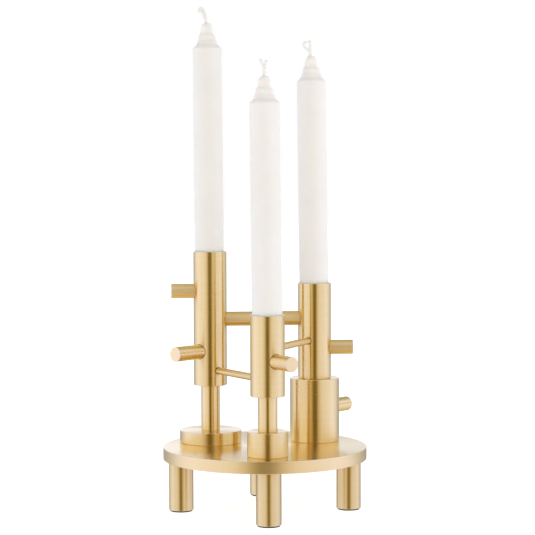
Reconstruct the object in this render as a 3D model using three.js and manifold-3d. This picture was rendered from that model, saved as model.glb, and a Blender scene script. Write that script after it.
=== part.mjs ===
// A tabletop candelabra of turned brass. A round base plate on four short legs carries three towers of
// different heights. Two of them stand on a slim stem, the third on a thick drum. Cross rods tie the towers
// together, short pegs stand out of their sides, and a dinner candle stands in the socket on top of each.
// Millimetres, +Z up. The origin is on the plate's axis, at the height of the table; -Y is the front.

import * as THREE from "three";
import { mergeVertices } from "three/addons/utils/BufferGeometryUtils.js";
import Module from "manifold-3d";

const wasm = await Module();
wasm.setup();

// ---------------------------------------------------------------- driving dimensions

const EDGE = 0.4; // chamfer on every turned brass edge
const PAD_EDGE = 0.15; // chamfer on the foot pads
const STEM_EDGE = 0.1; // chamfer on the ends of the stems
const ROD_EDGE = 0.2; // chamfer on the ends of the rods
const CUT_PAST = 1; // how far a cutter reaches past the face that it enters
const SEAT_CUT_PAST = 5; // the same for a hole into a round side, which falls away beside the hole
const PLAY = 0.1; // radial play of a piece in the hole it is seated in
const SEAT_GAP = 0.1; // room between the end of a piece and the bottom of its hole
const SIDES = {
  plate: 60,
  turned: 36,
  foot: 20,
  peg: 24,
  link: 14,
  screw: 12,
  hexagon: 6,
  candle: 28,
  wick: 8,
};

const BASE = { radius: 76, thickness: 9 };
const LEG = { radius: 9.15, length: 38.4, pitchRadius: 62.8 };
const PAD = { radius: 8.2, thickness: 1 };

const TUBE_RADIUS = 12.5;
const STEM_RADIUS = 7.05;
const SOCKET = { radius: 11.5, depth: 20, lead: 0.5 };

const PEG = { radius: 5.4, seat: 4 }; // seat is how deep a peg is let into the tower
const LINK = { radius: 2.63, seat: 5 };

// Screws and studs are drawn at their outside diameter, without thread.
const M6 = {
  radius: 3,
  hole: 3.1,
  headRadius: 6,
  headHeight: 3.3,
  headRim: 0.3,
  hexRadius: 2.3,
  hexDepth: 2.4,
};
const M5 = { radius: 2.5, hole: 2.6 };
const LEG_STUD = { intoPlate: 6, intoLeg: 12 };
const TOWER_SCREW_GRIP = 12; // how far a base screw reaches into the piece it holds
const TOWER_STUD = { below: 12, above: 9 }; // between a stem, or the thick drum, and the tube on it
const PEG_STUD = { intoTower: 6, intoPeg: 7 };

const CANDLE = {
  footRadius: 11.05,
  shoulderRadius: 10.85,
  shoulder: 172.3, // height of the shoulder above the socket's floor
  footEdge: 0.5,
  floorGap: 0.2,
  wickHole: 1.45,
  wickMouth: { radius: 2.4, depth: 2.6 }, // the wider top of the wick's hole
  wickFoot: 0.3, // how far the wick's lower end is above the candle's
};
// The moulded tip, as radius and height above the shoulder: a chamfer, then a cone in three soft steps.
const CANDLE_TIP = [
  [8.0, 2.9],
  [7.2, 5.2],
  [6.6, 6.2],
  [6.3, 9.2],
  [5.1, 10.8],
  [4.6, 12.4],
  [4.4, 15.6],
  [3.8, 17.6],
  [2.7, 18.9],
];
const WICK_RADIUS = 1.3;

const plateBottom = PAD.thickness + LEG.length;
const plateTop = plateBottom + BASE.thickness;

// Each tower: where its axis stands, its pedestal on the plate, the slim stem's top where it has one, the
// tube's top, its pegs, and its candle. Azimuths are in degrees from +X, heights are above the table.
const TOWERS = {
  left: {
    at: polar(46.2, 150.6),
    pedestal: { radius: 23.3, height: 9.4 },
    stemTop: 92,
    tubeTop: 193.2,
    pegs: {
      left_upper_peg: { azimuth: 180, height: 163.2, reach: 29.4 },
      left_lower_peg: { azimuth: 226, height: 117.9, reach: 38.6 },
    },
    candle: { lean: 0.4, shift: -0.2 },
    wick: [
      [
        [-0.8, 0, -2],
        [-0.6, 0, 2],
        [-1.3, 0.4, 6],
        [-2.4, 0.6, 9.6],
        [-4.3, 0.5, 11.4],
        [-5.9, 0.2, 10.2],
        [-6.3, 0, 7.6],
      ],
    ],
  },
  centre: {
    at: polar(48.5, 270),
    pedestal: { radius: 14.85, height: 18 },
    stemTop: 91.8,
    tubeTop: 150.5,
    pegs: {
      centre_peg: { azimuth: 300, height: 117.6, reach: 32.6 },
    },
    candle: { lean: 0.55, shift: 0 },
    wick: [
      [
        [0, 0, -2],
        [0.1, 0, 3],
        [0.1, 0, 6.5],
        [-1.2, 0.2, 9.2],
        [-3, 0.4, 12.2],
      ],
      [
        [0, 0, 3],
        [0.2, 0, 6.5],
        [1.1, -0.1, 9],
        [1.9, -0.3, 11.4],
      ],
    ],
  },
  right: {
    at: polar(47.3, 34.2),
    pedestal: { radius: 18.7, height: 47.9 },
    tubeTop: 168.7,
    pegs: {
      right_upper_peg: { azimuth: 0, height: 119.6, reach: 29.2 },
      right_lower_peg: { azimuth: 46, height: 72.6, reach: 39.4, onPedestal: true },
    },
    candle: { lean: 0.7, shift: -0.1 },
    wick: [
      [
        [-0.6, 0, -2],
        [-0.5, 0, 3],
        [-0.6, 0.2, 8],
        [-0.9, 0.3, 12],
      ],
      [
        [-0.5, 0, 2.4],
        [-2, -0.3, 4.8],
        [-4.9, -0.6, 7.2],
        [-5.3, -0.5, 9.6],
        [-2.9, -0.3, 10.6],
      ],
    ],
  },
};

// Rods that run from one tower's axis to another's.
const RODS = {
  cross_rod: { from: "left", to: "right", height: 141.9, ...PEG, sides: SIDES.peg },
  left_link_rod: { from: "left", to: "centre", height: 103.6, ...LINK, sides: SIDES.link },
  right_link_rod: { from: "centre", to: "right", height: 125.4, ...LINK, sides: SIDES.link },
};

const LEG_AZIMUTHS = { front: 270, right: 0, back: 90, left: 180 };

// ---------------------------------------------------------------- materials

const BRASS = { color: 0xdcc08a, roughness: 0.32, metalness: 1 };
const STEEL = { color: 0xa9abad, roughness: 0.4, metalness: 1 };
const RUBBER = { color: 0x1b1a19, roughness: 0.9, metalness: 0 };
const WAX = { color: 0xf1efe9, roughness: 0.55, metalness: 0 };
const COTTON = { color: 0xeae8e2, roughness: 0.95, metalness: 0 };

// ---------------------------------------------------------------- helpers

function polar(radius, degrees) {
  const angle = THREE.MathUtils.degToRad(degrees);
  return new THREE.Vector2(radius * Math.cos(angle), radius * Math.sin(angle));
}

// A closed solid turned about +Z from points [radius, height] that start and end on the axis, low end first.
function turned(points, sides) {
  const profile = points.map(([radius, height]) => new THREE.Vector2(radius, height));
  return new THREE.LatheGeometry(profile, sides).rotateX(Math.PI / 2);
}

// A plain round bar along +Z with a chamfer at each end.
function bar(radius, low, high, sides, lowEdge = EDGE, highEdge = EDGE) {
  return turned(
    [
      [0, low],
      [radius - lowEdge, low],
      [radius, low + lowEdge],
      [radius, high - highEdge],
      [radius - highEdge, high],
      [0, high],
    ],
    sides,
  );
}

// A cutter for a plain round hole along +Z.
function drill(radius, low, high, sides) {
  return new THREE.CylinderGeometry(radius, radius, high - low, sides)
    .rotateX(Math.PI / 2)
    .translate(0, 0, (low + high) / 2);
}

// Turns a piece made along +Z so that it points along an azimuth at a height.
function radial(azimuth, height) {
  return new THREE.Matrix4()
    .makeTranslation(0, 0, height)
    .multiply(new THREE.Matrix4().makeRotationZ(THREE.MathUtils.degToRad(azimuth)))
    .multiply(new THREE.Matrix4().makeRotationY(Math.PI / 2));
}

function toSolid(geometry) {
  const bare = geometry.clone();
  bare.deleteAttribute("normal");
  bare.deleteAttribute("uv");
  const merged = mergeVertices(bare, 1e-4);
  const mesh = new wasm.Mesh({
    numProp: 3,
    vertProperties: new Float32Array(merged.attributes.position.array),
    triVerts: new Uint32Array(merged.index.array),
  });
  return new wasm.Manifold(mesh);
}

function toGeometry(solid) {
  const mesh = solid.getMesh();
  return new THREE.BufferGeometry()
    .setAttribute("position", new THREE.BufferAttribute(new Float32Array(mesh.vertProperties), 3))
    .setIndex(new THREE.BufferAttribute(new Uint32Array(mesh.triVerts), 1))
    .toNonIndexed();
}

function cut(geometry, cutters) {
  return toGeometry(cutters.reduce((solid, cutter) => solid.subtract(toSolid(cutter)), toSolid(geometry)));
}

function join(geometries) {
  return toGeometry(geometries.map(toSolid).reduce((all, solid) => all.add(solid)));
}

function piece(name, geometry, look) {
  if (!geometry.getAttribute("normal")) geometry.computeVertexNormals();
  const mesh = new THREE.Mesh(geometry, new THREE.MeshStandardMaterial(look));
  mesh.name = name;
  return mesh;
}

function placed(object, x, y, z = 0) {
  object.position.set(x, y, z);
  return object;
}

// ---------------------------------------------------------------- base plate, legs and feet

const legSpots = Object.entries(LEG_AZIMUTHS).map(([side, azimuth]) => [
  side,
  polar(LEG.pitchRadius, azimuth),
]);

function basePlate() {
  const studTop = plateBottom + LEG_STUD.intoPlate + SEAT_GAP;
  const studHoles = legSpots.map(([, spot]) =>
    drill(M5.hole, plateBottom - CUT_PAST, studTop, SIDES.screw).translate(spot.x, spot.y, 0),
  );
  const screwHoles = Object.values(TOWERS).flatMap(({ at }) => [
    drill(M6.hole, plateBottom - CUT_PAST, plateTop + CUT_PAST, SIDES.screw).translate(at.x, at.y, 0),
    countersink().translate(at.x, at.y, plateBottom),
  ]);
  return piece(
    "base_plate",
    cut(bar(BASE.radius, plateBottom, plateTop, SIDES.plate), [...studHoles, ...screwHoles]),
    BRASS,
  );
}

// The cone that a base screw's head sits in, with its mouth at height 0.
function countersink() {
  return turned(
    [
      [0, -CUT_PAST],
      [M6.headRadius + PLAY, -CUT_PAST],
      [M6.headRadius + PLAY, M6.headRim + PLAY],
      [M6.radius + PLAY, M6.headHeight + PLAY],
      [0, M6.headHeight + PLAY],
    ],
    SIDES.turned,
  );
}

function leg(side, spot) {
  const group = placed(new THREE.Group(), spot.x, spot.y);
  const studLow = plateBottom - LEG_STUD.intoLeg;
  const studHigh = plateBottom + LEG_STUD.intoPlate;
  group.add(
    piece("foot_pad_" + side, bar(PAD.radius, 0, PAD.thickness, SIDES.foot, PAD_EDGE, PAD_EDGE), RUBBER),
    piece(
      "leg_" + side,
      cut(bar(LEG.radius, PAD.thickness, plateBottom, SIDES.turned), [
        drill(M5.hole, studLow - SEAT_GAP, plateBottom + CUT_PAST, SIDES.screw),
      ]),
      BRASS,
    ),
    piece("leg_stud_" + side, bar(M5.radius, studLow, studHigh, SIDES.screw), STEEL),
  );
  return group;
}

// ---------------------------------------------------------------- towers

// A countersunk screw with a hexagon socket, its head's face at height 0.
function screw(length) {
  const { radius, headRadius, headHeight, headRim } = M6;
  const body = turned(
    [
      [0, 0],
      [headRadius, 0],
      [headRadius, headRim],
      [radius, headHeight],
      [radius, length - EDGE],
      [radius - EDGE, length],
      [0, length],
    ],
    SIDES.screw,
  );
  return cut(body, [drill(M6.hexRadius, -CUT_PAST, M6.hexDepth, SIDES.hexagon)]);
}

// The holes that the pegs and the rods are seated in, in the tower's own frame.
function seatHole(azimuth, height, towerRadius, { radius, seat }, sides) {
  const bottom = towerRadius - seat - SEAT_GAP;
  const hole = drill(radius + PLAY, bottom, towerRadius + SEAT_CUT_PAST, sides);
  return hole.applyMatrix4(radial(azimuth, height));
}

function pegStudHole(azimuth, height, towerRadius) {
  const bottom = towerRadius - PEG.seat - PEG_STUD.intoTower - SEAT_GAP;
  return drill(M5.hole, bottom, towerRadius, SIDES.screw).applyMatrix4(radial(azimuth, height));
}

function pegHoles(pegs, towerRadius) {
  return pegs.flatMap(([, { azimuth, height }]) => [
    seatHole(azimuth, height, towerRadius, PEG, SIDES.peg),
    pegStudHole(azimuth, height, towerRadius),
  ]);
}

function rodRun({ from, to }) {
  const run = TOWERS[to].at.clone().sub(TOWERS[from].at);
  return { length: run.length(), azimuth: THREE.MathUtils.radToDeg(run.angle()) };
}

function rodHoles(towerName) {
  return Object.values(RODS).flatMap((rod) => {
    const { azimuth } = rodRun(rod);
    if (rod.from === towerName) return [seatHole(azimuth, rod.height, TUBE_RADIUS, rod, rod.sides)];
    if (rod.to === towerName) return [seatHole(azimuth + 180, rod.height, TUBE_RADIUS, rod, rod.sides)];
    return [];
  });
}

// The tube: a round bar bored from the top for the candle, and drilled for its stud, its pegs and its rods.
function tube(towerName, low, high, pegs) {
  const floor = high - SOCKET.depth;
  const lead = turned(
    [
      [0, high - SOCKET.lead],
      [SOCKET.radius, high - SOCKET.lead],
      [SOCKET.radius + SOCKET.lead, high],
      [SOCKET.radius + SOCKET.lead, high + CUT_PAST],
      [0, high + CUT_PAST],
    ],
    SIDES.turned,
  );
  return cut(bar(TUBE_RADIUS, low, high, SIDES.turned), [
    drill(SOCKET.radius, floor, high + CUT_PAST, SIDES.turned),
    lead,
    drill(M6.hole, low - CUT_PAST, low + TOWER_STUD.above + SEAT_GAP, SIDES.screw),
    ...pegHoles(pegs, TUBE_RADIUS),
    ...rodHoles(towerName),
  ]);
}

// A peg and the stud that screws it to its tower.
function peg(name, { azimuth, height, reach }, towerRadius) {
  const inner = towerRadius - PEG.seat;
  const shank = piece(
    name,
    cut(bar(PEG.radius, inner, reach, SIDES.peg), [
      drill(M5.hole, inner - CUT_PAST, inner + PEG_STUD.intoPeg + SEAT_GAP, SIDES.screw),
    ]),
    BRASS,
  );
  const stud = piece(
    name + "_stud",
    bar(M5.radius, inner - PEG_STUD.intoTower, inner + PEG_STUD.intoPeg, SIDES.screw),
    STEEL,
  );
  shank.applyMatrix4(radial(azimuth, height));
  stud.applyMatrix4(radial(azimuth, height));
  return [shank, stud];
}

function tower(name, { at, pedestal, stemTop, tubeTop, pegs, candle, wick }) {
  const group = placed(new THREE.Group(), at.x, at.y);
  const pedestalTop = plateTop + pedestal.height;
  const tubeBottom = stemTop ?? pedestalTop;
  const tubePegs = Object.entries(pegs).filter(([, spec]) => !spec.onPedestal);
  const pedestalPegs = Object.entries(pegs).filter(([, spec]) => spec.onPedestal);
  const studLow = tubeBottom - TOWER_STUD.below;
  const studHole = drill(M6.hole, studLow - SEAT_GAP, tubeBottom + CUT_PAST, SIDES.screw);

  // The base screw clamps the pedestal between the plate and the stem, or holds the thick drum itself.
  const gripStart = stemTop ? pedestalTop : plateTop;
  const screwTop = gripStart + TOWER_SCREW_GRIP;
  const screwHole = drill(M6.hole, plateTop - CUT_PAST, screwTop + SEAT_GAP, SIDES.screw);
  group.add(
    piece(
      name + "_pedestal",
      cut(bar(pedestal.radius, plateTop, pedestalTop, SIDES.turned), [
        screwHole,
        ...(stemTop ? [] : [studHole]),
        ...pegHoles(pedestalPegs, pedestal.radius),
      ]),
      BRASS,
    ),
    placed(piece(name + "_base_screw", screw(screwTop - plateBottom), STEEL), 0, 0, plateBottom),
    piece(name + "_tube_stud", bar(M6.radius, studLow, tubeBottom + TOWER_STUD.above, SIDES.screw), STEEL),
    piece(name + "_tube", tube(name, tubeBottom, tubeTop, tubePegs), BRASS),
    ...tubePegs.flatMap(([pegName, spec]) => peg(pegName, spec, TUBE_RADIUS)),
    ...pedestalPegs.flatMap(([pegName, spec]) => peg(pegName, spec, pedestal.radius)),
    candleIn(name, tubeTop - SOCKET.depth, candle, wick),
  );
  if (stemTop) {
    const stem = bar(STEM_RADIUS, pedestalTop, stemTop, SIDES.turned, STEM_EDGE, STEM_EDGE);
    group.add(piece(name + "_stem", cut(stem, [screwHole, studHole]), BRASS));
  }
  return group;
}

function rod(name, spec) {
  const { length, azimuth } = rodRun(spec);
  const { at } = TOWERS[spec.from];
  const inset = TUBE_RADIUS - spec.seat;
  const shank = bar(spec.radius, inset, length - inset, spec.sides, ROD_EDGE, ROD_EDGE);
  const mesh = piece(name, shank, BRASS);
  mesh.applyMatrix4(radial(azimuth, spec.height));
  return placed(new THREE.Group(), at.x, at.y).add(mesh);
}

// ---------------------------------------------------------------- candles

// One bent strand of a wick's free end.
function wickStrand(points) {
  const path = new THREE.CatmullRomCurve3(points.map((point) => new THREE.Vector3(...point)));
  const section = new THREE.Shape().absarc(0, 0, WICK_RADIUS, 0, 2 * Math.PI);
  return new THREE.ExtrudeGeometry(section, {
    extrudePath: path,
    steps: 3 * points.length,
    curveSegments: SIDES.wick / 2,
  });
}

// A candle standing in a socket, a fraction of a degree out of plumb, with the wick that runs through it.
function candleIn(towerName, floor, { lean, shift }, strands) {
  const { footRadius, footEdge, shoulderRadius, shoulder, floorGap, wickHole, wickMouth, wickFoot } = CANDLE;
  const tipTop = shoulder + CANDLE_TIP.at(-1)[1];
  const wax = turned(
    [
      [0, floorGap],
      [footRadius - footEdge, floorGap],
      [footRadius, floorGap + footEdge],
      [shoulderRadius, shoulder],
      ...CANDLE_TIP.map(([radius, height]) => [radius, shoulder + height]),
      [0, tipTop],
    ],
    SIDES.candle,
  );
  // The strands leave the tip a little off centre, so the hole is widened there to clear them.
  const mouth = drill(wickMouth.radius, tipTop - wickMouth.depth, tipTop + CUT_PAST, SIDES.screw);
  const hole = drill(wickHole, floorGap - CUT_PAST, tipTop + CUT_PAST, SIDES.screw);
  const core = drill(WICK_RADIUS, floorGap + wickFoot, tipTop - 1, SIDES.wick);
  const freeEnd = strands.map((points) => wickStrand(points).translate(0, 0, tipTop));

  const group = placed(new THREE.Group(), shift, 0, floor);
  group.rotation.y = -THREE.MathUtils.degToRad(lean);
  group.add(
    piece(towerName + "_candle", cut(wax, [mouth, hole]), WAX),
    piece(towerName + "_wick", join([core, ...freeEnd]), COTTON),
  );
  return group;
}

// ---------------------------------------------------------------- assembly

const candelabra = new THREE.Group();
candelabra.name = "tabletop_candelabra";
candelabra.add(
  basePlate(),
  ...legSpots.map(([side, spot]) => leg(side, spot)),
  ...Object.entries(TOWERS).map(([name, spec]) => tower(name, spec)),
  ...Object.entries(RODS).map(([name, spec]) => rod(name, spec)),
);

export default candelabra;
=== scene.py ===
"""The finished pieces of a tabletop candelabra: turned satin brass, moulded candles with braided wicks, and
a plain studio around them. Metres, +Z up. The front of the candelabra is -Y, and it stands at z 0."""

import math

import bpy
import numpy as np
from mathutils import Matrix, Vector


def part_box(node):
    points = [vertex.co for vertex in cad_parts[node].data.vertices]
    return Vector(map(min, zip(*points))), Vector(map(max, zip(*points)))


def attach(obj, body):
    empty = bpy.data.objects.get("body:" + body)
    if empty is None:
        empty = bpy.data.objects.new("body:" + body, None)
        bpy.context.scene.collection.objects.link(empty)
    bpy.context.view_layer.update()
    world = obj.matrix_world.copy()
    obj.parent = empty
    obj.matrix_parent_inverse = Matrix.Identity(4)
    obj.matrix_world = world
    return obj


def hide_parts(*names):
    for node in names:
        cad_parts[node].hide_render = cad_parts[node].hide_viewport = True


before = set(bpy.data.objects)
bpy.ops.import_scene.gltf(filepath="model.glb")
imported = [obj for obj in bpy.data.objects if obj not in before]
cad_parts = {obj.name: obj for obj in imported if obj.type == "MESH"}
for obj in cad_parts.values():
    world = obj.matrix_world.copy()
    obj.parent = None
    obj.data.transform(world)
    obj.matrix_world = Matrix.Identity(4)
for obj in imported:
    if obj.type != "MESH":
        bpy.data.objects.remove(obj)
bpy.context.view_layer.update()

MM = 0.001

# ---------------------------------------------------------------- sizes

TOWERS = ("left", "centre", "right")
SIDES = ("front", "right", "back", "left")
PEGS = {  # each peg, and the piece that it is let into
    "left_upper_peg": "left_tube",
    "left_lower_peg": "left_tube",
    "centre_peg": "centre_tube",
    "right_upper_peg": "right_tube",
    "right_lower_peg": "right_pedestal",
}
RODS = {  # each rod, and the pieces that its ends are let into
    "cross_rod": ("left_tube", "right_tube"),
    "left_link_rod": ("left_tube", "centre_tube"),
    "right_link_rod": ("centre_tube", "right_tube"),
}

FINE_BARS = (  # the pegs and rods with the finer finish, which is smoother and has less painted light in its colour, all those that lie at a slant to X
    "left_lower_peg",
    "centre_peg",
    "right_lower_peg",
    "left_link_rod",
    "right_link_rod",
)

EDGE = 0.4 * MM  # rounding of a turned brass edge
FINE_EDGE = 0.15 * MM  # rounding of stems, rods, foot pads and screw heads
EDGE_STEPS = 6
LONGEST_RUN = 12 * MM  # rings on a turned piece are at most this far apart
CUT_PAST = 2 * MM  # how far a cutter reaches past the surface that it opens

SOCKET = {"radius": 11.5 * MM, "depth": 20 * MM, "lead": 0.5 * MM}
SEAT = {"play": 0.1 * MM, "mouth": 0.3 * MM, "mouth_depth": 1.6 * MM}  # the hole of a peg or rod
SCREW = {
    "radius": 3 * MM,
    "head_radius": 6 * MM,
    "head_height": 3.3 * MM,
    "head_rim": 0.3 * MM,
    "hex_radius": 2.3 * MM,
    "hex_depth": 2.4 * MM,
    "hex_point": 0.6 * MM,
    "play": 0.1 * MM,
}
COUNTERSINK_LIP = 0.3 * MM  # how much wider each screw's hole is at its mouth
SCREW_ROOF = 1 * MM  # what is left of the plate's thickness over each screw's hole

CANDLE = {
    "foot_radius": 11.05 * MM,
    "shoulder_radius": 10.85 * MM,
    "rounding": 0.7 * MM,
    "wick_hole_radius": 1.45 * MM,
    "wick_hole_lip": 0.5 * MM,
    "lip_rounding": 0.2 * MM,
    "wick_hole_depth": 1.2 * MM,
}
# The moulded tip of a candle, as radius and height above its shoulder: a chamfer, then soft steps.
CANDLE_TIP = (
    (8.0, 2.9),
    (7.2, 5.2),
    (6.6, 6.2),
    (6.3, 9.2),
    (5.1, 10.8),
    (4.6, 12.4),
    (4.4, 15.6),
    (3.8, 17.6),
    (2.7, 18.9),
)
TIP_HEIGHT = CANDLE_TIP[-1][1] * MM

# Each wick's free end as two plies, each with its points in millimetres from the top of the candle's tip.
WICKS = {
    "left": (
        (
            *((-0.7, 0.3, -2), (-0.5, 0.4, 2), (-1.2, 0.7, 6)),
            *((-2.4, 0.9, 9.6), (-4.2, 0.7, 11.4), (-5.6, 0.3, 9.8)),
        ),
        (
            *((-0.9, -0.4, -2), (-0.8, -0.4, 2), (-2.3, -0.3, 5)),
            *((-3.4, -0.2, 7.8), (-4.8, -0.1, 9.4), (-6.2, 0, 7.9)),
        ),
    ),
    "centre": (
        ((-0.4, 0.3, -2), (0.4, 0.3, 3), (-0.3, 0.2, 6.3), (-1.4, 0.2, 9.2), (-3, 0.4, 12)),
        ((0.4, -0.3, -2), (-0.3, -0.3, 3), (0.5, -0.1, 6.3), (1.2, -0.1, 9), (1.9, -0.3, 11.2)),
    ),
    "right": (
        ((-0.3, 0.3, -2), (-0.3, 0.2, 3), (-0.4, 0.2, 8), (-0.8, 0.3, 11.8)),
        (
            *((-0.9, -0.2, -2), (-0.8, 0, 2.4), (-2.2, -0.3, 4.8)),
            *((-4.9, -0.6, 7.2), (-5.2, -0.5, 9.6), (-3, -0.3, 10.5)),
        ),
    ),
}
PLY = {"Yarns": 3, "Yarn Radius": 0.58 * MM, "Spread": 0.55 * MM, "Lay": 4.6 * MM}
MOULDING = {"Flutes": 5.0, "Flute Depth": 0.045, "Twist": 1.0, "Unevenness": 0.25 * MM, "Hole": 2.5 * MM}

# ---------------------------------------------------------------- camera

CAMERA = {  # metres from the candelabra's axis and above the table, angles in degrees, lens in millimetres
    "distance": 1.398,
    "height": 0.2639,
    "azimuth": 2.414,  # from the front towards the left
    "turned_right": 0.0945,
    "pitched_down": 3.352,
    "rolled": -0.166,
    "lens": 126.5,
    "sensor_width": 36,
    "sees_to": 100,
}


def place_camera():
    camera = bpy.data.objects.new("camera", bpy.data.cameras.new("camera"))
    bpy.context.scene.collection.objects.link(camera)
    camera.data.sensor_width = CAMERA["sensor_width"]
    camera.data.lens = CAMERA["lens"]
    camera.data.clip_end = CAMERA["sees_to"]
    azimuth = math.radians(CAMERA["azimuth"])
    spot = Vector((-math.sin(azimuth), -math.cos(azimuth), 0)) * CAMERA["distance"]
    spot.z = CAMERA["height"]
    heading = -azimuth - math.radians(CAMERA["turned_right"])
    turn = (
        Matrix.Rotation(heading, 4, "Z")
        @ Matrix.Rotation(math.radians(90 - CAMERA["pitched_down"]), 4, "X")
        @ Matrix.Rotation(math.radians(CAMERA["rolled"]), 4, "Z")
    )
    camera.matrix_world = Matrix.Translation(spot) @ turn
    bpy.context.scene.camera = camera


# ---------------------------------------------------------------- node trees


def place(tree, kind, *values, **settings):
    """Adds a node to a tree, with settings as its properties. Values, which are sockets or plain values, go
    in its inputs in order, and None leaves an input as it is. Returns the node's first output."""
    node = tree.nodes.new(kind)
    for name, value in settings.items():
        setattr(node, name, value)
    inputs = [socket for socket in node.inputs if socket.enabled]
    for socket, value in zip(inputs, values):
        if isinstance(value, bpy.types.NodeSocket):
            tree.links.new(value, socket)
        elif value is not None:
            socket.default_value = value
    outputs = [socket for socket in node.outputs if socket.enabled]
    return outputs[0] if outputs else node


def compute(tree, operation, *values):
    """A number worked out from other numbers."""
    return place(tree, "ShaderNodeMath", *values, operation=operation)


def compute_vector(tree, operation, *values):
    """A vector worked out from other vectors."""
    return place(tree, "ShaderNodeVectorMath", *values, operation=operation)


def ease(tree, value, start, end, low=0.0, high=1.0):
    """Goes smoothly from low to high as value goes from start to end."""
    return place(tree, "ShaderNodeMapRange", value, start, end, low, high, interpolation_type="SMOOTHSTEP")


def new_tree(name, kind, inputs, outputs):
    """A node group with named inputs, each a socket type and a starting value, and named outputs."""
    tree = bpy.data.node_groups.new(name, kind)
    for label, (socket_type, value) in inputs.items():
        socket = tree.interface.new_socket(name=label, in_out="INPUT", socket_type=socket_type)
        if value is not None:
            socket.default_value = value
    for label, socket_type in outputs.items():
        tree.interface.new_socket(name=label, in_out="OUTPUT", socket_type=socket_type)
    return tree, tree.nodes.new("NodeGroupInput").outputs, tree.nodes.new("NodeGroupOutput").inputs


GEOMETRY = "NodeSocketGeometry"
NUMBER = "NodeSocketFloat"
COUNT = "NodeSocketInt"
OBJECT = "NodeSocketObject"
MATERIAL = "NodeSocketMaterial"


def real_with_material(tree, geometry, material):
    """What every shape tree ends in: Realize Instances, then Set Material."""
    real = place(tree, "GeometryNodeRealizeInstances", geometry)
    return place(tree, "GeometryNodeSetMaterial", real, None, material)


def turned_piece_tree():
    """Turns a chain of points, given as radius in x and height in z, about the z axis, and closes the seam
    and the poles. The chain's wear and its distances along it carry over, and a UV map holds the turn and
    those distances. Faces that lie across the axis get a material of their own."""
    tree, given, out = new_tree(
        "turned_piece",
        "GeometryNodeTree",
        {
            "Outline": (GEOMETRY, None),
            "Segments": (COUNT, 128),
            "Material": (MATERIAL, None),
            "Face Material": (MATERIAL, None),
        },
        {"Geometry": GEOMETRY},
    )
    outline, segments = given["Outline"], given["Segments"]
    rows = place(tree, "GeometryNodeAttributeDomainSize", outline, component="MESH")
    columns = place(tree, "FunctionNodeIntegerMath", segments, 1, operation="ADD")
    grid = place(tree, "GeometryNodeMeshGrid", 1.0, 1.0, columns, rows)
    index = place(tree, "GeometryNodeInputIndex")
    row = place(tree, "FunctionNodeIntegerMath", index, rows, operation="MODULO")
    column = place(tree, "FunctionNodeIntegerMath", index, rows, operation="DIVIDE_FLOOR")
    turn = compute(tree, "MULTIPLY", compute(tree, "DIVIDE", column, segments), 2 * math.pi)

    position = place(tree, "GeometryNodeInputPosition")
    corner = place(tree, "GeometryNodeSampleIndex", outline, position, row, data_type="FLOAT_VECTOR")
    spot = place(tree, "ShaderNodeVectorRotate", corner, (0, 0, 0), turn, rotation_type="Z_AXIS")
    shape = place(tree, "GeometryNodeSetPosition", grid, None, spot)
    for label in ("wear", "along"):
        own = place(tree, "GeometryNodeInputNamedAttribute", label, data_type="FLOAT")
        carried = place(tree, "GeometryNodeSampleIndex", outline, own, row, data_type="FLOAT")
        shape = place(tree, "GeometryNodeStoreNamedAttribute", shape, None, label, carried, data_type="FLOAT")
    along = place(tree, "GeometryNodeInputNamedAttribute", "along", data_type="FLOAT")
    turn_of_point = place(tree, "GeometryNodeFieldOnDomain", turn, data_type="FLOAT", domain="POINT")
    directions = place(tree, "ShaderNodeCombineXYZ", turn_of_point, along, 0.0)
    shape = place(
        tree,
        "GeometryNodeStoreNamedAttribute",
        shape,
        None,
        "turning",
        directions,
        data_type="FLOAT2",
        domain="CORNER",
    )
    closed = place(tree, "GeometryNodeMergeByDistance", shape, None, 1e-7)
    smooth = place(tree, "GeometryNodeSetShadeSmooth", closed, None, True)
    sides = real_with_material(tree, smooth, given["Material"])
    upright = place(tree, "ShaderNodeSeparateXYZ", place(tree, "GeometryNodeInputNormal")).node.outputs["Z"]
    is_face = compute(tree, "GREATER_THAN", compute(tree, "ABSOLUTE", upright), 0.99)
    faced = place(tree, "GeometryNodeSetMaterial", sides, is_face, given["Face Material"])
    tree.links.new(faced, out["Geometry"])
    return tree


def pieces_at_spots_tree():
    """Sets a copy of a piece on each point of the geometry that it is given."""
    tree, given, out = new_tree(
        "pieces_at_spots",
        "GeometryNodeTree",
        {"Spots": (GEOMETRY, None), "Piece": (OBJECT, None), "Material": (MATERIAL, None)},
        {"Geometry": GEOMETRY},
    )
    info = place(tree, "GeometryNodeObjectInfo", given["Piece"]).node
    copies = place(tree, "GeometryNodeInstanceOnPoints", given["Spots"], None, info.outputs["Geometry"])
    tree.links.new(real_with_material(tree, copies, given["Material"]), out["Geometry"])
    return tree


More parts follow.
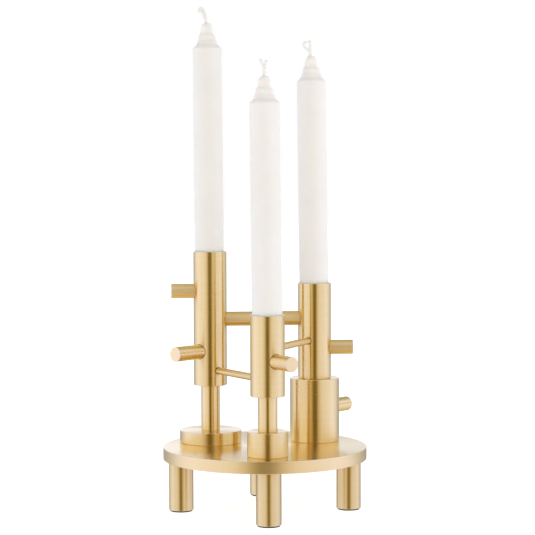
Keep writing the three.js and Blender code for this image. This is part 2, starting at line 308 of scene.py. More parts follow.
def moulded_tip_tree():
    """Presses soft flutes into a candle above its shoulder, and leaves the wax a little uneven all over, but
    for the wick's hole."""
    tree, given, out = new_tree(
        "moulded_tip",
        "GeometryNodeTree",
        {
            "Candle": (GEOMETRY, None),
            "Shoulder": (NUMBER, 0.17),
            "Tip Height": (NUMBER, 0.019),
            "Flutes": (NUMBER, 6.0),
            "Flute Depth": (NUMBER, 0.05),
            "Twist": (NUMBER, 0.6),
            "Unevenness": (NUMBER, 0.0001),
            "Hole": (NUMBER, 0.0025),
            "Seed": (NUMBER, 1.0),
            "Material": (MATERIAL, None),
        },
        {"Geometry": GEOMETRY},
    )
    position = place(tree, "GeometryNodeInputPosition")
    x, y, z = place(tree, "ShaderNodeSeparateXYZ", position).node.outputs
    height = compute(tree, "DIVIDE", compute(tree, "SUBTRACT", z, given["Shoulder"]), given["Tip Height"])
    on_tip = compute(tree, "MULTIPLY", ease(tree, height, 0.1, 0.35), ease(tree, height, 1.0, 0.8))
    twist = compute(tree, "MULTIPLY", height, given["Twist"])
    angle = compute(tree, "ADD", compute(tree, "ARCTAN2", y, x), twist)
    wave = compute(tree, "COSINE", compute(tree, "MULTIPLY", angle, given["Flutes"]))
    flute = compute(tree, "MULTIPLY", compute(tree, "MULTIPLY", wave, given["Flute Depth"]), on_tip)
    drift = place(tree, "ShaderNodeTexNoise", position, given["Seed"], 90.0, 2.0, noise_dimensions="4D")
    drift = compute(tree, "MULTIPLY", compute(tree, "SUBTRACT", drift, 0.5), given["Unevenness"])
    from_axis = place(tree, "ShaderNodeCombineXYZ", x, y, 0.0)
    radius = compute_vector(tree, "LENGTH", from_axis).node.outputs["Value"]
    past_hole = compute(tree, "GREATER_THAN", radius, given["Hole"])
    outward = compute_vector(tree, "NORMALIZE", from_axis)
    swell = compute_vector(tree, "SCALE", outward, compute(tree, "MULTIPLY", drift, past_hole))
    offset = compute_vector(tree, "ADD", compute_vector(tree, "SCALE", from_axis, flute), swell)
    shaped = place(tree, "GeometryNodeSetPosition", given["Candle"], None, None, offset)
    tree.links.new(real_with_material(tree, shaped, given["Material"]), out["Geometry"])
    return tree


def braided_ply_tree():
    """Lays yarns round each chain of points, as a ply of a wick, with loose yarn ends at its top."""
    tree, given, out = new_tree(
        "braided_ply",
        "GeometryNodeTree",
        {
            "Paths": (GEOMETRY, None),
            "Yarns": (COUNT, 3),
            "Yarn Radius": (NUMBER, 0.0004),
            "Spread": (NUMBER, 0.0005),
            "Lay": (NUMBER, 0.004),
            "Step": (NUMBER, 0.00025),
            "Material": (MATERIAL, None),
        },
        {"Geometry": GEOMETRY},
    )
    chains = place(tree, "GeometryNodeMeshToCurve", given["Paths"])
    smooth = place(tree, "GeometryNodeCurveSplineType", chains, None, spline_type="CATMULL_ROM")
    smooth = place(tree, "GeometryNodeSetSplineResolution", smooth, None, 12)
    even = place(tree, "GeometryNodeResampleCurve", smooth, None, given["Step"], mode="LENGTH")
    copies = place(tree, "GeometryNodeDuplicateElements", even, None, given["Yarns"], domain="SPLINE")
    number = copies.node.outputs["Duplicate Index"]
    phase = compute(tree, "MULTIPLY", compute(tree, "DIVIDE", number, given["Yarns"]), 2 * math.pi)
    parameter = place(tree, "GeometryNodeSplineParameter").node
    length, factor = parameter.outputs["Length"], parameter.outputs["Factor"]
    turns = compute(tree, "MULTIPLY", compute(tree, "DIVIDE", length, given["Lay"]), 2 * math.pi)
    angle = compute(tree, "ADD", turns, phase)
    loose = ease(tree, factor, 0.82, 1.0, 1.0, 1.7)
    reach = compute(tree, "MULTIPLY", given["Spread"], loose)
    normal = place(tree, "GeometryNodeInputNormal")
    tangent = place(tree, "GeometryNodeInputTangent")
    side = compute_vector(tree, "CROSS_PRODUCT", normal, tangent)
    across = compute(tree, "MULTIPLY", compute(tree, "SINE", angle), reach)
    deep = compute(tree, "MULTIPLY", compute(tree, "COSINE", angle), reach)
    across = compute_vector(tree, "SCALE", normal, across)
    deep = compute_vector(tree, "SCALE", side, deep)
    shift = compute_vector(tree, "ADD", across, deep)
    laid = place(tree, "GeometryNodeSetPosition", copies, None, None, shift)
    thickness = compute(tree, "MULTIPLY", given["Yarn Radius"], ease(tree, factor, 0.9, 1.0, 1.0, 0.75))
    laid = place(tree, "GeometryNodeSetCurveRadius", laid, None, thickness)
    laid = place(tree, "GeometryNodeStoreNamedAttribute", laid, None, "along", length, data_type="FLOAT")
    section = place(tree, "GeometryNodeCurvePrimitiveCircle", 10, 1.0)
    tubes = sweep(tree, laid, section)
    smooth = place(tree, "GeometryNodeSetShadeSmooth", tubes, None, True)
    tree.links.new(real_with_material(tree, smooth, given["Material"]), out["Geometry"])
    return tree


def sweep(tree, path, section):
    """A closed tube of the section along the path, as thick as the path's own radius says."""
    node = tree.nodes.new("GeometryNodeCurveToMesh")
    tree.links.new(path, node.inputs["Curve"])
    tree.links.new(section, node.inputs["Profile Curve"])
    tree.links.new(place(tree, "GeometryNodeInputRadius"), node.inputs["Scale"])
    node.inputs["Fill Caps"].default_value = True
    return node.outputs[0]


# ---------------------------------------------------------------- making pieces


def linked(name, data):
    """An object of the mesh or lamp, in the scene."""
    made = bpy.data.objects.new(name, data)
    bpy.context.scene.collection.objects.link(made)
    return made


def add_tree(carrier, tree, values):
    """Puts a shape tree on an object, with its inputs set by the sockets' identifiers."""
    modifier = carrier.modifiers.new(tree.name, "NODES")
    modifier.node_group = tree
    for socket in tree.interface.items_tree:
        if socket.in_out == "INPUT" and socket.name in values:
            modifier[socket.identifier] = values[socket.name]


def settled(carrier, name):
    """The mesh that an object's modifiers make, as a plain object of its own. The carrier is removed."""
    depsgraph = bpy.context.evaluated_depsgraph_get()
    mesh = bpy.data.meshes.new_from_object(
        carrier.evaluated_get(depsgraph), preserve_all_data_layers=True, depsgraph=depsgraph
    )
    bpy.data.objects.remove(carrier)
    mesh.name = name
    return linked(name, mesh)


def rounded(corners):
    """An outline as (radius, height, wear) from corners as (radius, height, rounding). Each rounding is an
    arc with a guard point past either end, which keeps the faces beside it flat. Long runs are divided."""
    points = []
    for number, (radius, height, rounding) in enumerate(corners):
        here = Vector((radius, height))
        if rounding == 0:
            points.append((radius, height, 0.0))
            continue
        back = (Vector(corners[number - 1][:2]) - here).normalized()
        on = (Vector(corners[number + 1][:2]) - here).normalized()
        half = back.angle(on) / 2
        reach = rounding / math.tan(half)
        centre = here + (back + on).normalized() * rounding / math.sin(half)
        start, end = here + back * reach - centre, here + on * reach - centre
        sweep_angle = start.angle(end)
        points.append((*(here + back * (reach + rounding / 2)), 0.0))
        for step in range(EDGE_STEPS + 1):
            share = step / EDGE_STEPS
            arm = start * math.sin((1 - share) * sweep_angle) + end * math.sin(share * sweep_angle)
            wear = 0.35 + 0.65 * math.sin(share * math.pi)
            points.append((*(centre + arm / math.sin(sweep_angle)), wear))
        points.append((*(here + on * (reach + rounding / 2)), 0.0))
    divided = [points[0]]
    for before, after in zip(points, points[1:]):
        parts = math.ceil(math.dist(before[:2], after[:2]) / LONGEST_RUN)
        for part in range(1, parts + 1):
            divided.append(tuple(a + (b - a) * part / parts for a, b in zip(before, after)))
    return divided


def chain_object(name, chains):
    """A mesh of chains of edges, from lists of points."""
    points = [point for chain in chains for point in chain]
    edges, first = [], 0
    for chain in chains:
        edges += [(number, number + 1) for number in range(first, first + len(chain) - 1)]
        first += len(chain)
    mesh = bpy.data.meshes.new(name)
    mesh.from_pydata(points, edges, [])
    return linked(name, mesh)


def turned(name, corners, segments, look, face_look=None):
    """A piece turned about the z axis, from its outline's corners, lowest on the axis first."""
    outline = rounded(corners)
    carrier = chain_object(name + "_outline", [[(radius, 0, height) for radius, height, _ in outline]])
    wear = [wear for *_, wear in outline]
    along = np.cumsum([0] + [math.dist(a[:2], b[:2]) for a, b in zip(outline, outline[1:])])
    for label, values in (("wear", wear), ("along", along.astype(np.float32))):
        carrier.data.attributes.new(label, "FLOAT", "POINT").data.foreach_set("value", values)
    looks = {"Material": LOOKS[look], "Face Material": LOOKS[face_look or look]}
    add_tree(carrier, TREES["turned_piece"], {"Segments": segments, **looks})
    return settled(carrier, name)


def bar_corners(radius, low, high, low_edge=EDGE, high_edge=EDGE):
    """The outline's corners of a plain round bar."""
    return [(0, low, 0), (radius, low, low_edge), (radius, high, high_edge), (0, high, 0)]


def cut(piece, cutters):
    """Cuts pieces out of a piece, and removes the cutters."""
    if not cutters:
        return piece
    for cutter in cutters:
        modifier = piece.modifiers.new("cut", "BOOLEAN")
        modifier.operation = "DIFFERENCE"
        modifier.solver = "EXACT"
        modifier.object = cutter
    name = piece.name
    made = settled(piece, name)
    for cutter in cutters:
        bpy.data.objects.remove(cutter)
    made.name = name
    made.data.set_sharp_from_angle(angle=math.radians(30))
    return made


def shift_to_axis(piece, node):
    """Shifts a piece that was turned about the z axis to the upright axis of the node."""
    spot = middle(node)
    piece.data.transform(Matrix.Translation((spot.x, spot.y, 0)))


def at_spots(name, piece, nodes, look):
    """One mesh with a copy of the piece on the axis of each node. The piece itself is removed."""
    spots = [middle(node) for node in nodes]
    mesh = bpy.data.meshes.new(name)
    mesh.from_pydata([(spot.x, spot.y, 0) for spot in spots], [], [])
    carrier = linked(name + "_spots", mesh)
    add_tree(carrier, TREES["pieces_at_spots"], {"Piece": piece, "Material": LOOKS[look]})
    made = settled(carrier, name)
    bpy.data.objects.remove(piece)
    return made


def kept(piece, body, slot, *nodes):
    """Says which body a finished piece rides on, and the nodes that it stands for. Its finish, the slot, is
    not used.
    """
    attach(piece, body)
    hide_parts(*nodes)


def middle(node):
    low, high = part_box(node)
    return (low + high) / 2


def span(node):
    low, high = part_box(node)
    return high - low


# ---------------------------------------------------------------- materials


def tool_lines_group():
    """The fine lines that a turning tool or an abrasive leaves, which run round the piece: their height, and
    a broader tone that changes from band to band."""
    tree, given, out = new_tree(
        "tool_lines",
        "ShaderNodeTree",
        {"Lines Per Metre": (NUMBER, 3000.0), "Bands Per Metre": (NUMBER, 500.0), "Drift": (NUMBER, 70.0)},
        {"Height": NUMBER, "Tone": NUMBER},
    )
    place_on_piece = place(tree, "ShaderNodeTexCoord").node.outputs["Object"]
    turning = place(tree, "ShaderNodeUVMap", uv_map="turning")
    along = place(tree, "ShaderNodeSeparateXYZ", turning).node.outputs["Y"]
    drifting = compute_vector(tree, "SCALE", place_on_piece, given["Drift"])

    def lines(per_metre, detail):
        run = place(tree, "ShaderNodeCombineXYZ", 0.0, 0.0, compute(tree, "MULTIPLY", along, per_metre))
        where = compute_vector(tree, "ADD", drifting, run)
        return place(tree, "ShaderNodeTexNoise", where, 1.0, detail)

    tree.links.new(lines(given["Lines Per Metre"], 3.0), out["Height"])
    tree.links.new(lines(given["Bands Per Metre"], 4.0), out["Tone"])
    return tree


def edge_wear_group():
    """Where handling has brightened the rounded edges, broken up so that no edge is even."""
    tree, given, out = new_tree(
        "edge_wear",
        "ShaderNodeTree",
        {"Amount": (NUMBER, 1.0), "Scale": (NUMBER, 400.0)},
        {"Mask": NUMBER},
    )
    place_on_piece = place(tree, "ShaderNodeTexCoord").node.outputs["Object"]
    wear = place(tree, "ShaderNodeAttribute", attribute_name="wear").node.outputs["Fac"]
    patchy = place(tree, "ShaderNodeTexNoise", place_on_piece, given["Scale"], 3.0)
    broken = ease(tree, patchy, 0.25, 0.6, 0.35, 1.0)
    mask = compute(tree, "MULTIPLY", compute(tree, "MULTIPLY", wear, broken), given["Amount"])
    tree.links.new(mask, out["Mask"])
    return tree


def handling_group():
    """Soft clouds where hands and cloths have left the surface a little duller, with small specks in them."""
    tree, given, out = new_tree(
        "handling",
        "ShaderNodeTree",
        {"Cloud Scale": (NUMBER, 35.0), "Speck Scale": (NUMBER, 900.0), "Specks": (NUMBER, 0.3)},
        {"Mask": NUMBER, "Specks": NUMBER},
    )
    place_on_piece = place(tree, "ShaderNodeTexCoord").node.outputs["Object"]
    clouds = place(tree, "ShaderNodeTexNoise", place_on_piece, given["Cloud Scale"], 4.0)
    specks = place(tree, "ShaderNodeTexNoise", place_on_piece, given["Speck Scale"], 2.0)
    tree.links.new(ease(tree, clouds, 0.35, 0.7), out["Mask"])
    tree.links.new(compute(tree, "MULTIPLY", ease(tree, specks, 0.6, 0.75), given["Specks"]), out["Specks"])
    return tree


def group(tree, name, **values):
    """Places a shader group with its inputs set by name, and returns its outputs."""
    node = tree.nodes.new("ShaderNodeGroup")
    node.node_tree = TREES[name]
    for label, value in values.items():
        node.inputs[label.replace("_", " ")].default_value = value
    return node.outputs


def blend_colours(tree, factor, low, high):
    """The low colour where the factor is 0, and the high one where it is 1."""
    return place(tree, "ShaderNodeMix", factor, low, high, data_type="RGBA")


def new_material(name):
    """A material and its shader, with nothing in them yet."""
    material = bpy.data.materials.new(name)
    material.use_nodes = True
    tree = material.node_tree
    tree.nodes.clear()
    shader = tree.nodes.new("ShaderNodeBsdfPrincipled")
    output = tree.nodes.new("ShaderNodeOutputMaterial")
    tree.links.new(shader.outputs["BSDF"], output.inputs["Surface"])
    return material, tree, shader


def bump(tree, shader, height, distance):
    """Raises the surface by up to the distance where height is 1."""
    node = tree.nodes.new("ShaderNodeBump")
    node.inputs["Distance"].default_value = distance
    node.inputs["Strength"].default_value = 1.0
    tree.links.new(height, node.inputs["Height"])
    tree.links.new(node.outputs["Normal"], shader.inputs["Normal"])


def turned_metal(name, deep, pale, edge, roughness, anisotropic, line_height):
    """A metal with turning lines round it, brighter on its edges and duller where it is handled."""
    material, tree, shader = new_material(name)
    lines = group(tree, "tool_lines", Lines_Per_Metre=3200.0, Bands_Per_Metre=420.0, Drift=18.0)
    wear = group(tree, "edge_wear", Amount=0.8, Scale=350.0)["Mask"]
    marks = group(tree, "handling", Cloud_Scale=28.0, Speck_Scale=900.0, Specks=0.02)
    tone = ease(tree, lines["Tone"], 0.3, 0.7)
    toned = blend_colours(tree, tone, (*deep, 1), (*pale, 1))
    tree.links.new(blend_colours(tree, wear, toned, (*edge, 1)), shader.inputs["Base Color"])
    rough = compute(tree, "ADD", compute(tree, "MULTIPLY", marks["Mask"], 0.03), roughness)
    for mask, rougher in ((tone, 0.012), (wear, -0.08), (marks["Specks"], 0.1)):
        rough = compute(tree, "ADD", rough, compute(tree, "MULTIPLY", mask, rougher))
    tree.links.new(rough, shader.inputs["Roughness"])
    shader.inputs["Metallic"].default_value = 1.0
    shader.inputs["Anisotropic"].default_value = anisotropic
    shader.inputs["Anisotropic Rotation"].default_value = 0.25
    tangent = place(tree, "ShaderNodeTangent", direction_type="UV_MAP", uv_map="turning")
    tree.links.new(tangent, shader.inputs["Tangent"])
    bump(tree, shader, lines["Height"], line_height)
    return material


def satin_brass(name, roughness, anisotropic=1.0, painted_light_factor=1.0):
    """Brass with a satin finish. Its colour is scaled by a factor: over 1 it is paler, as painted light, and
    under 1 it is deeper, as painted shade.
    """
    return turned_metal(
        name,
        deep=(0.865 * painted_light_factor, 0.632 * painted_light_factor, 0.215 * painted_light_factor),
        pale=(0.88 * painted_light_factor, 0.649 * painted_light_factor, 0.235 * painted_light_factor),
        edge=(0.95, 0.79, 0.48),
        roughness=roughness,
        anisotropic=anisotropic,
        line_height=0.0003 * MM,
    )


def machined_steel():
    return turned_metal(
        "machined_steel",
        deep=(0.42, 0.42, 0.43),
        pale=(0.55, 0.55, 0.56),
        edge=(0.75, 0.75, 0.76),
        roughness=0.34,
        anisotropic=0.5,
        line_height=0.006 * MM,
    )


def foot_rubber():
    material, tree, shader = new_material("foot_rubber")
    marks = group(tree, "handling", Cloud_Scale=160.0, Speck_Scale=2600.0, Specks=1.0)
    tree.links.new(
        blend_colours(tree, marks["Mask"], (0.008, 0.007, 0.006, 1), (0.02, 0.018, 0.015, 1)),
        shader.inputs["Base Color"],
    )
    rough = compute(tree, "ADD", compute(tree, "MULTIPLY", marks["Mask"], 0.1), 0.85)
    tree.links.new(rough, shader.inputs["Roughness"])
    shader.inputs["Specular IOR Level"].default_value = 0.15
    bump(tree, shader, marks["Specks"], 0.03 * MM)
    return material


def candle_wax():
    material, tree, shader = new_material("candle_wax")
    marks = group(tree, "handling", Cloud_Scale=45.0, Speck_Scale=700.0, Specks=0.5)
    tree.links.new(
        blend_colours(tree, marks["Mask"], (0.848, 0.836, 0.802, 1), (0.832, 0.818, 0.781, 1)),
        shader.inputs["Base Color"],
    )
    rough = compute(tree, "ADD", compute(tree, "MULTIPLY", marks["Mask"], 0.08), 0.45)
    tree.links.new(rough, shader.inputs["Roughness"])
    shader.inputs["Subsurface Weight"].default_value = 0.9
    shader.inputs["Subsurface Radius"].default_value = (1.0, 0.8, 0.6)
    shader.inputs["Subsurface Scale"].default_value = 5 * MM
    shader.inputs["IOR"].default_value = 1.44
    place_on_piece = place(tree, "ShaderNodeTexCoord").node.outputs["Object"]
    skin = place(tree, "ShaderNodeTexNoise", place_on_piece, 260.0, 3.0)
    bump(tree, shader, compute(tree, "ADD", skin, marks["Specks"]), 0.05 * MM)
    return material


def wick_cotton():
    material, tree, shader = new_material("wick_cotton")
    marks = group(tree, "handling", Cloud_Scale=500.0, Speck_Scale=3000.0, Specks=1.0)
    along = place(tree, "ShaderNodeAttribute", attribute_name="along").node.outputs["Fac"]
    place_on_piece = place(tree, "ShaderNodeTexCoord").node.outputs["Object"]
    run = place(tree, "ShaderNodeCombineXYZ", 0.0, 0.0, compute(tree, "MULTIPLY", along, 600.0))
    spot = compute_vector(tree, "SCALE", place_on_piece, 9000.0)
    fibres = place(tree, "ShaderNodeTexNoise", compute_vector(tree, "ADD", spot, run), 1.0, 3.0)
    tree.links.new(
        blend_colours(tree, ease(tree, fibres, 0.3, 0.7), (0.84, 0.83, 0.80, 1), (0.95, 0.94, 0.92, 1)),
        shader.inputs["Base Color"],
    )
    rough = compute(tree, "ADD", compute(tree, "MULTIPLY", marks["Mask"], 0.1), 0.85)
    tree.links.new(rough, shader.inputs["Roughness"])
    shader.inputs["Sheen Weight"].default_value = 0.4
    shader.inputs["Sheen Roughness"].default_value = 0.6
    bump(tree, shader, fibres, 0.04 * MM)
    return material


# ---------------------------------------------------------------- brass pieces


def make_plate():
    low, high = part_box("base_plate")
    plate = turned("base_plate_turned", bar_corners(high.x, low.z, high.z), 360, "rim_brass", "faced_brass")
    cutters = []
    mouth, shank = SCREW["head_radius"] + SCREW["play"], SCREW["radius"] + SCREW["play"]
    for tower in TOWERS:
        corners = [
            (0, low.z - CUT_PAST, 0),
            (mouth + COUNTERSINK_LIP, low.z - CUT_PAST, 0),
            (mouth + COUNTERSINK_LIP, low.z, 0),
            (mouth, low.z + SCREW["head_rim"] + SCREW["play"], 0),
            (shank, low.z + SCREW["head_height"] + SCREW["play"], 0),
            (shank, high.z - SCREW_ROOF, 0),
            (0, high.z - SCREW_ROOF, 0),
        ]
        cutter = turned(tower + "_countersink", corners, 96, "satin_brass")
        shift_to_axis(cutter, tower + "_base_screw")
        cutters.append(cutter)
    kept(cut(plate, cutters), "stand", "satin_brass", "base_plate")


def make_legs():
    nodes = ["leg_" + side for side in SIDES]
    low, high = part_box("leg_front")
    # The legs get brass with painted shade in its colour.
    leg = turned("leg", bar_corners((high.x - low.x) / 2, low.z, high.z), 128, "leg_brass_painted_shade")
    kept(at_spots("legs_turned", leg, nodes, "leg_brass_painted_shade"), "stand", "satin_brass", *nodes)


def make_foot_pads():
    nodes = ["foot_pad_" + side for side in SIDES]
    low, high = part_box("foot_pad_front")
    pad = turned(
        "foot_pad", bar_corners((high.x - low.x) / 2, low.z, high.z, FINE_EDGE, FINE_EDGE), 96, "foot_rubber"
    )
    kept(at_spots("foot_pads_cut", pad, nodes, "foot_rubber"), "stand", "foot_rubber", *nodes)


def make_base_screws():
    """Countersunk screws with a hexagon socket. Each has the length of its own node."""
    for tower in TOWERS:
        node = tower + "_base_screw"
        low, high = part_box(node)
        corners = [
            (0, low.z, 0),
            (SCREW["head_radius"], low.z, FINE_EDGE),
            (SCREW["head_radius"], low.z + SCREW["head_rim"], 0),
            (SCREW["radius"], low.z + SCREW["head_height"], 0),
            (SCREW["radius"], high.z, EDGE),
            (0, high.z, 0),
        ]
        screw = turned(node + "_turned", corners, 96, "screw_steel")
        hexagon = [
            (0, low.z - CUT_PAST, 0),
            (SCREW["hex_radius"], low.z - CUT_PAST, 0),
            (SCREW["hex_radius"], low.z + SCREW["hex_depth"], 0),
            (0, low.z + SCREW["hex_depth"] + SCREW["hex_point"], 0),
        ]
        screw = cut(screw, [turned(node + "_key", hexagon, 6, "screw_steel")])
        shift_to_axis(screw, node)
        kept(screw, "stand", "screw_steel", node)


def keep_upright(node, corners, segments):
    """Turns a piece of a tower from its outline's corners, and cuts the holes of its pegs and rods."""
    piece = turned(node + "_turned", corners, segments, "satin_brass", "faced_brass")
    shift_to_axis(piece, node)
    kept(cut(piece, seat_cutters(node)), "stand", "satin_brass", node)


def make_upright(node, segments, edge=EDGE):
    """A pedestal, drum or stem."""
    low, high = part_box(node)
    keep_upright(node, bar_corners((high.x - low.x) / 2, low.z, high.z, edge, edge), segments)


def make_tube(tower):
    """A tube with the candle's socket bored in its top."""
    node = tower + "_tube"
    low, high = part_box(node)
    radius = (high.x - low.x) / 2
    floor = high.z - SOCKET["depth"]
    lead = SOCKET["lead"]
    corners = [
        (0, low.z, 0),
        (radius, low.z, EDGE),
        (radius, high.z, EDGE * 0.8),
        (SOCKET["radius"] + lead / 2, high.z, lead / 2),
        (SOCKET["radius"], high.z - lead, lead / 2),
        (SOCKET["radius"], floor, EDGE),
        (0, floor, 0),
    ]
    keep_upright(node, corners, 224)


def bar_lay(node, end_piece):
    """How a peg or a rod lies, seen from the piece that its end is let into: its turn and shift from the z
    axis, its radius and its length. It lies level, so its box and its azimuth give them all."""
    size = span(node)
    radius = size.z / 2
    centre = middle(node)
    run = centre - middle(end_piece)
    azimuth = math.atan2(run.y, run.x)
    cosine, sine = abs(math.cos(azimuth)), abs(math.sin(azimuth))
    length = (size.x - 2 * radius * sine) / cosine if cosine > sine else (size.y - 2 * radius * cosine) / sine
    lay = Matrix.Translation(centre) @ Matrix.Rotation(azimuth, 4, "Z") @ Matrix.Rotation(math.pi / 2, 4, "Y")
    return lay, radius, length


def make_crossbar(node, end_piece, edge=EDGE):
    """A peg or a rod. The end piece is the one that its near end is let into."""
    lay, radius, length = bar_lay(node, end_piece)
    segments = 128 if radius > 4 * MM else 80
    corners = bar_corners(radius, -length / 2, length / 2, edge, edge)
    # Every bar's brass is painted paler, as painted light; the fine bars less so.
    look = "fine_bar_brass_painted_light" if node in FINE_BARS else "bar_brass_painted_light"
    piece = turned(node + "_turned", corners, segments, look, "faced_brass")
    piece.data.transform(lay)
    kept(piece, "stand", "satin_brass", node)


def seat_cutters(tower_piece):
    """Cutters for the holes that pegs and rods are let into, each a little wider at its mouth."""
    bars = [peg for peg, holder in PEGS.items() if holder == tower_piece]
    bars += [rod for rod, holders in RODS.items() if tower_piece in holders]
    cutters = []
    for node in bars:
        lay, radius, length = bar_lay(node, tower_piece)
        away = middle(node) - middle(tower_piece)
        surface = span(tower_piece).x / 2 - math.hypot(away.x, away.y)
        bottom = -length / 2 - SEAT["play"]
        hole, mouth = radius + SEAT["play"], radius + SEAT["mouth"]
        step = surface - SEAT["mouth_depth"]
        corners = [
            (0, bottom, 0),
            (hole, bottom, 0),
            (hole, step, 0),
            (mouth, step + SEAT["mouth"], 0),
            (mouth, surface + CUT_PAST, 0),
            (0, surface + CUT_PAST, 0),
        ]
        cutter = turned(node + "_seat", corners, 96, "satin_brass")
        cutter.data.transform(lay)
        cutters.append(cutter)
    return cutters


def make_brass():
    make_plate()
    make_legs()
    for tower in TOWERS:
        make_upright(tower + "_pedestal", 288)
        make_tube(tower)
    for tower in ("left", "centre"):
        make_upright(tower + "_stem", 160, FINE_EDGE)
    for peg, holder in PEGS.items():
        make_crossbar(peg, holder)
    for rod, holders in RODS.items():
        make_crossbar(rod, holders[0], FINE_EDGE)


# ---------------------------------------------------------------- candles


def candle_axis(node):
    """How a candle stands, as a turn and shift from the z axis, and how tall it is, from the node's lowest
    and highest rings of points."""
    points = np.unique([tuple(round(c, 6) for c in v.co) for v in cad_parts[node].data.vertices], axis=0)
    heights = points[:, 2]
    low = points[heights < heights.min() + 0.3 * MM].mean(axis=0)
    high = points[heights > heights.max() - 0.3 * MM].mean(axis=0)
    foot, tip = Vector(low), Vector(high)
    turn = Vector((0, 0, 1)).rotation_difference(tip - foot).to_matrix().to_4x4()
    return Matrix.Translation(foot) @ turn, (tip - foot).length


def make_candle(tower, number):
    """A candle and its wick. The number seeds the candle's own unevenness."""
    node = tower + "_candle"
    stand, top = candle_axis(node)
    shoulder = top - TIP_HEIGHT
    rounding, hole = CANDLE["rounding"], CANDLE["wick_hole_radius"]
    tip = [(radius * MM, shoulder + rise * MM, rounding) for radius, rise in CANDLE_TIP[:-1]]
    corners = [
        (0, 0, 0),
        (CANDLE["foot_radius"], 0, rounding),
        (CANDLE["shoulder_radius"], shoulder, rounding),
        *tip,
        (CANDLE_TIP[-1][0] * MM, top, rounding * 0.8),
        (hole + CANDLE["wick_hole_lip"], top, CANDLE["lip_rounding"]),
        (hole, top - CANDLE["wick_hole_depth"], 0),
        (0, top - CANDLE["wick_hole_depth"], 0),
    ]
    carrier = turned(node + "_plain", corners, 160, "candle_wax")
    add_tree(
        carrier,
        TREES["moulded_tip"],
        {
            **MOULDING,
            "Shoulder": shoulder,
            "Tip Height": TIP_HEIGHT,
            "Seed": 3.0 * number,
            "Material": LOOKS["candle_wax"],
        },
    )
    candle = settled(carrier, node + "_moulded")
    candle.data.transform(stand)
    kept(candle, tower + "_taper", "candle_wax", node)

    plies = [[Vector(point) * MM for point in ply] for ply in WICKS[tower]]
    paths = chain_object(tower + "_plies", plies)
    add_tree(paths, TREES["braided_ply"], {**PLY, "Material": LOOKS["cotton_wick"]})
    wick = settled(paths, tower + "_wick_braided")
    wick.data.transform(stand @ Matrix.Translation((0, 0, top)))
    kept(wick, tower + "_taper", "cotton_wick", tower + "_wick")


# ---------------------------------------------------------------- studio

GAP = (0.165, 0.122, 0.0)  # the warm dark of the room behind the camera, between the two light walls
GAP_LOW = (0.10, 0.045, 0.0, 1)  # its lower part, the dark in front of the table
WALLS = (  # colour of the light round the candelabra, by degrees from the camera to either side
    (0, GAP),
    (6, GAP),
    (20, (0.76, 0.71, 0.86)),
    (36, (0.95, 1.0, 1.78)),
    (70, (1.02, 1.11, 2.32)),
    (92, (1.13, 1.26, 2.78)),
    (112, (0.96, 1.08, 2.2)),
    (135, (0.55, 0.6, 0.93)),
    (155, (0.38, 0.40, 0.5)),
    (180, (0.28, 0.28, 0.28)),
)
BACKDROP_LEFT = (1.05, 1.13, 1.45, 1)  # the bright band above the table, everywhere but in the gap
BACKDROP_RIGHT = (0.86, 0.92, 1.13, 1)
AROUND = (0.745, 0.725, 0.695, 1)  # the even light that the matt surfaces get
CEILING = (0.69, 0.70, 0.78, 1)
UNDER = (0.90, 0.87, 0.88, 1)
TABLE_GLOW = (0.75, 0.6, 0.1, 1)  # the warm light that the table top under the brass sends back

SOFTBOX = {"width": 0.9, "height": 1.2, "right_spot": (1.3, -0.5, 0.7), "aim": Vector((0, 0, 0.15))}
FLOOR_HALF = 6.0  # half the width of the table top


def studio_world():
    """Soft light walls at either side, a dark gap behind the camera, a bright backdrop, and the glow of the
    table. Seen directly, it is plain white."""
    world = bpy.data.worlds.new("studio")
    bpy.context.scene.world = world
    world.use_nodes = True
    world.cycles.sampling_method = "NONE"
    tree = world.node_tree
    tree.nodes.clear()
    direction = place(tree, "ShaderNodeTexCoord").node.outputs["Generated"]
    azimuth = math.radians(CAMERA["azimuth"])
    facing = place(tree, "ShaderNodeVectorRotate", direction, (0, 0, 0), azimuth, rotation_type="Z_AXIS")
    x, y, z = place(tree, "ShaderNodeSeparateXYZ", facing).node.outputs
    angle = compute(tree, "ARCTAN2", x, compute(tree, "MULTIPLY", y, -1.0))
    share = compute(tree, "DIVIDE", compute(tree, "ABSOLUTE", angle), math.pi)
    walls = place(tree, "ShaderNodeValToRGB", share)
    ramp = walls.node.color_ramp
    for degrees, colour in WALLS[1:-1]:
        ramp.elements.new(degrees / 180)
    for element, (degrees, colour) in zip(ramp.elements, WALLS):
        element.position = degrees / 180
        element.color = (*colour, 1)
    # From here on, height is in degrees from the level, and share is the angle from the camera over 180.
    height = compute(tree, "MULTIPLY", compute(tree, "ARCSINE", z), 180 / math.pi)
    above_table = compute(tree, "MULTIPLY", ease(tree, height, 0.0, 4.0), ease(tree, height, 26.0, 17.0))
    in_band = compute(tree, "MULTIPLY", above_table, ease(tree, share, 0.12, 0.25))
    backdrop = blend_colours(tree, ease(tree, x, -0.05, 0.05), BACKDROP_LEFT, BACKDROP_RIGHT)
    light = blend_colours(tree, in_band, walls, backdrop)
    in_gap = compute(tree, "MULTIPLY", ease(tree, height, -4.5, -8.0), ease(tree, share, 16 / 180, 5 / 180))
    light = blend_colours(tree, in_gap, light, GAP_LOW)
    near_table = compute(tree, "MULTIPLY", ease(tree, height, -10.5, -14.5), 0.2)
    light = blend_colours(tree, near_table, light, TABLE_GLOW)
    light = blend_colours(tree, ease(tree, height, 35.0, 70.0), light, CEILING)
    light = blend_colours(tree, ease(tree, height, -25.0, -60.0), light, UNDER)
    ray = place(tree, "ShaderNodeLightPath").node.outputs
    colour = blend_colours(tree, ray["Is Glossy Ray"], AROUND, light)
    colour = blend_colours(tree, ray["Is Camera Ray"], colour, (1, 1, 1, 1))
    background = place(tree, "ShaderNodeBackground", colour, 1.0)
    output = tree.nodes.new("ShaderNodeOutputWorld")
    tree.links.new(background, output.inputs["Surface"])


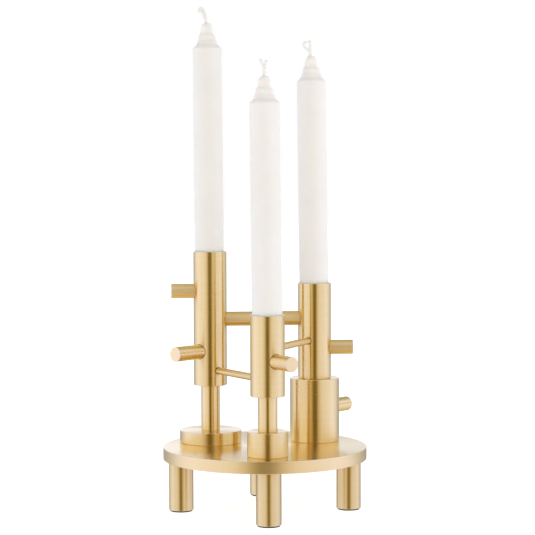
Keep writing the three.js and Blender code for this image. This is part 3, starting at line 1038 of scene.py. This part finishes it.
def studio_lamps():
    """A large soft box at either side. The walls carry the reflections, so the lamps only give soft light."""
    for name, side, power in (("left_softbox", -1, 1.5), ("right_softbox", 1, 3.0)):
        lamp = linked(name, bpy.data.lights.new(name, "AREA"))
        lamp.data.shape = "RECTANGLE"
        lamp.data.size, lamp.data.size_y = SOFTBOX["width"], SOFTBOX["height"]
        lamp.data.energy = power
        x, y, z = SOFTBOX["right_spot"]
        spot = Vector((side * x, y, z))
        aim = (SOFTBOX["aim"] - spot).to_track_quat("-Z", "Y").to_matrix().to_4x4()
        lamp.matrix_world = Matrix.Translation(spot) @ aim
        lamp.visible_camera = False
        lamp.visible_glossy = False


def studio_floor():
    """A white table top, lit so that it runs into the backdrop."""
    mesh = bpy.data.meshes.new("floor")
    corners = [(x * FLOOR_HALF, y * FLOOR_HALF, 0) for x, y in ((-1, -1), (1, -1), (1, 1), (-1, 1))]
    mesh.from_pydata(corners, [], [(0, 1, 2, 3)])
    floor = linked("floor", mesh)
    material, _, shader = new_material("white_table")
    shader.inputs["Base Color"].default_value = (0.5, 0.5, 0.5, 1)
    shader.inputs["Roughness"].default_value = 0.9
    shader.inputs["Emission Color"].default_value = (1, 1, 1, 1)
    shader.inputs["Emission Strength"].default_value = 0.82
    mesh.materials.append(material)
    floor.visible_glossy = False


def studio():
    studio_world()
    studio_lamps()
    studio_floor()
    bpy.context.scene.view_settings.view_transform = "Standard"
    bpy.context.scene.view_settings.look = "None"


# ---------------------------------------------------------------- assembly

place_camera()

TREES = {
    tree.name: tree
    for tree in (
        turned_piece_tree(),
        pieces_at_spots_tree(),
        moulded_tip_tree(),
        braided_ply_tree(),
        tool_lines_group(),
        edge_wear_group(),
        handling_group(),
    )
}
LOOKS = {
    "satin_brass": satin_brass("satin_brass", 0.24),
    "faced_brass": satin_brass("satin_brass_faced", 0.14),
    "rim_brass": satin_brass("satin_brass_rim", 0.32, anisotropic=0.3),
    # The legs' brass is a little deeper, as painted shade for the shade under the plate, and a little
    # rougher.
    "leg_brass_painted_shade": satin_brass("satin_brass_leg", 0.29, painted_light_factor=0.94),
    # The bars' brass is painted paler, as painted light: the plain bars more and rougher, the fine bars less
    # and smoother.
    "bar_brass_painted_light": satin_brass("satin_brass_bar", 0.40, painted_light_factor=1.135),
    "fine_bar_brass_painted_light": satin_brass("satin_brass_fine_bar", 0.25, painted_light_factor=1.06),
    "screw_steel": machined_steel(),
    "foot_rubber": foot_rubber(),
    "candle_wax": candle_wax(),
    "cotton_wick": wick_cotton(),
}

for cad_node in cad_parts.values():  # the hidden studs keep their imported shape
    if cad_node.name.endswith("_stud") or "_stud_" in cad_node.name:
        cad_node.data.materials.clear()
        cad_node.data.materials.append(LOOKS["screw_steel"])

make_brass()
make_foot_pads()
make_base_screws()
for order, tower_name in enumerate(TOWERS):
    make_candle(tower_name, order + 1)

studio()
